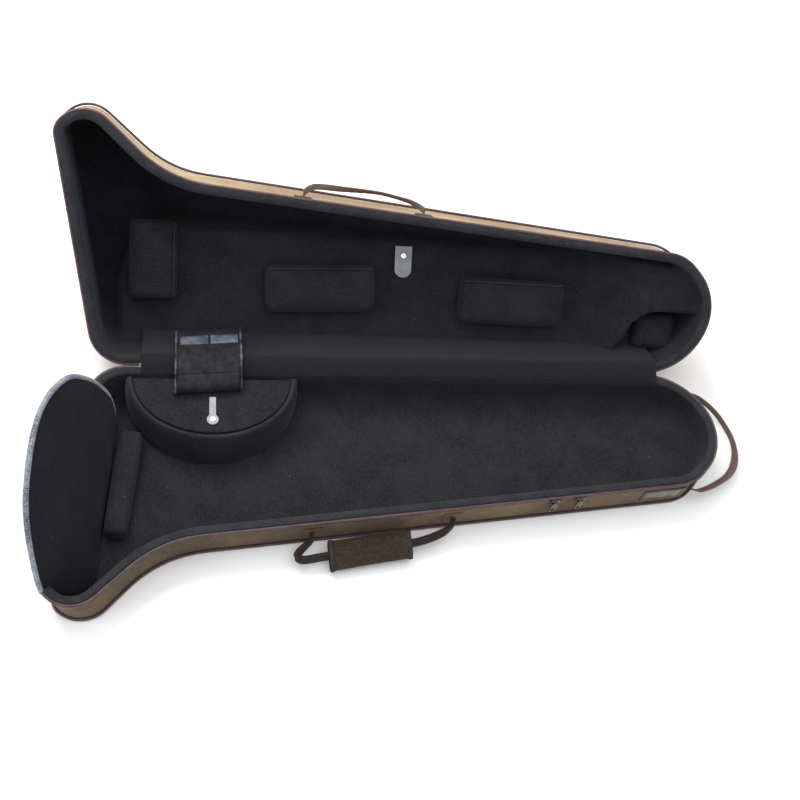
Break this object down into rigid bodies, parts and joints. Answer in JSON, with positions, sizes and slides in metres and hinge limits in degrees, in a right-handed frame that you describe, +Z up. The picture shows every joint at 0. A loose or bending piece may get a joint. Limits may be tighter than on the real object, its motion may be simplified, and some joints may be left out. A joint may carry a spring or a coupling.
{
  "type": "trombone case",
  "caption": "Shaped trombone case lying open: canvas-covered base tray and domed zip lid, plush lining, bell rest panel, accessory box, slide pads, carry handle and straps.",
  "frame": {"origin": "on the underside of the base, at mid length, 120 mm in front of the hinge line", "axes": "+X along the hinge from the bell end to the slide end, -Y to the front (zip and handle side), +Z up"},
  "size_m": [1.0143, 0.7234, 0.3128],
  "materials": {
    "canvas": "woven canvas, tan flecked with brown",
    "canvas_dark": "woven canvas, olive brown",
    "plush": "short black plush",
    "lining_cloth": "black woven lining cloth",
    "piping": "dark purple-brown piping and binding",
    "webbing": "purple-brown webbing",
    "plywood": "moulded plywood",
    "tab_leather": "smooth grey leather",
    "grip": "olive-brown canvas handle wrap",
    "metal_dark": "dark bronze",
    "metal_bright": "bright plated metal",
    "label_clear": "clear window over a plain card"
  },
  "bodies": {
    "base": {"base_underside": "canvas_dark", "base_shell": "plywood", "base_lining": "plush", "base_cover": "canvas_dark", "base_rim_piping": "piping", "base_foot_piping": "piping", "base_zip_tape": "piping", "hinge_tape_base": "piping", "gusset_base": "lining_cloth", "bell_panel": "plush", "bell_pad": "plush", "accessory_box": "plush", "handle_patches": "webbing", "end_strap_patches": "webbing", "label_frame": "piping", "label_window": "label_clear"},
    "lid": {"lid_cover": "canvas", "lid_floor_panel": "canvas", "lid_shell": "plywood", "lid_lining": "plush", "lid_rim_piping": "piping", "lid_zip_tape": "piping", "lid_top_piping": "piping", "hinge_tape_lid": "piping", "gusset_lid": "lining_cloth", "pouch_back": "lining_cloth", "slide_bed": "plush", "slide_end_block": "plush", "bell_end_pad": "plush", "slide_pad_left": "plush", "slide_pad_right": "plush", "slide_end_pad": "plush", "tab_stud": "metal_bright", "lid_strap_patches": "webbing"},
    "slide_tab": {"slide_tab": "tab_leather"},
    "accessory_lid": {"accessory_lid": "plush", "pouch_front": "lining_cloth"},
    "pull_tab": {"box_pull_tab": "tab_leather", "pull_tab_rivet": "metal_bright"},
    "handle": {"handle_webbing": "webbing", "handle_grip": "grip"},
    "lid_strap": {"lid_strap": "webbing"},
    "end_strap": {"end_strap": "webbing"},
    "zip_slider_left": {"zip_slider_left": "metal_dark"},
    "zip_slider_right": {"zip_slider_right": "metal_dark"},
    "zip_pull_left": {"zip_pull_left": "metal_dark"},
    "zip_pull_right": {"zip_pull_right": "metal_dark"}
  },
  "joints": [
    {"name": "lid_hinge", "type": "hinge", "parent": "base", "child": "lid", "pos_m": [0, 0.12, 0.0635], "axis": [1, 0, 0], "range_deg": [0, 134]},
    {"name": "accessory_lid_hinge", "type": "hinge", "parent": "base", "child": "accessory_lid", "pos_m": [-0.261, 0.1026, 0.061], "axis": [-1, 0, 0], "range_deg": [0, 50]},
    {"name": "pull_tab_lift", "type": "hinge", "parent": "accessory_lid", "child": "pull_tab", "pos_m": [-0.261, 0.071, 0.0613], "axis": [-1, 0, 0], "range_deg": [0, 40]},
    {"name": "slide_tab_turn", "type": "hinge", "parent": "lid", "child": "slide_tab", "pos_m": [0.019, 0.2908, 0.10847], "axis": [-0.0327, -0.6281, 0.7775], "range_deg": [-90, 90]},
    {"name": "handle_swing", "type": "hinge", "parent": "base", "child": "handle", "pos_m": [-0.02705, -0.11823, 0.029], "axis": [-0.9944, -0.1055, 0], "range_deg": [0, 100]},
    {"name": "lid_strap_swing", "type": "hinge", "parent": "lid", "child": "lid_strap", "pos_m": [-0.05068, 0.31515, 0.20008], "axis": [0.9944, -0.0733, -0.0759], "range_deg": [0, 90]},
    {"name": "end_strap_swing", "type": "hinge", "parent": "base", "child": "end_strap", "pos_m": [0.436, 0.027, 0.03], "axis": [0, -1, 0], "range_deg": [0, 55]},
    {"name": "zip_slide_left", "type": "slide", "parent": "base", "child": "zip_slider_left", "axis": [-0.9944, -0.1055, 0], "range_m": [0, 0.44]},
    {"name": "zip_slide_right", "type": "slide", "parent": "base", "child": "zip_slider_right", "axis": [0.9944, 0.1055, 0], "range_m": [0, 0.08]},
    {"name": "zip_pull_left_flip", "type": "hinge", "parent": "zip_slider_left", "child": "zip_pull_left", "pos_m": [0.21537, -0.08697, 0.0537], "axis": [-0.9944, -0.1055, 0], "range_deg": [0, 100]},
    {"name": "zip_pull_right_flip", "type": "hinge", "parent": "zip_slider_right", "child": "zip_pull_right", "pos_m": [0.25337, -0.08294, 0.0537], "axis": [-0.9944, -0.1055, 0], "range_deg": [0, 100]}
  ]
}
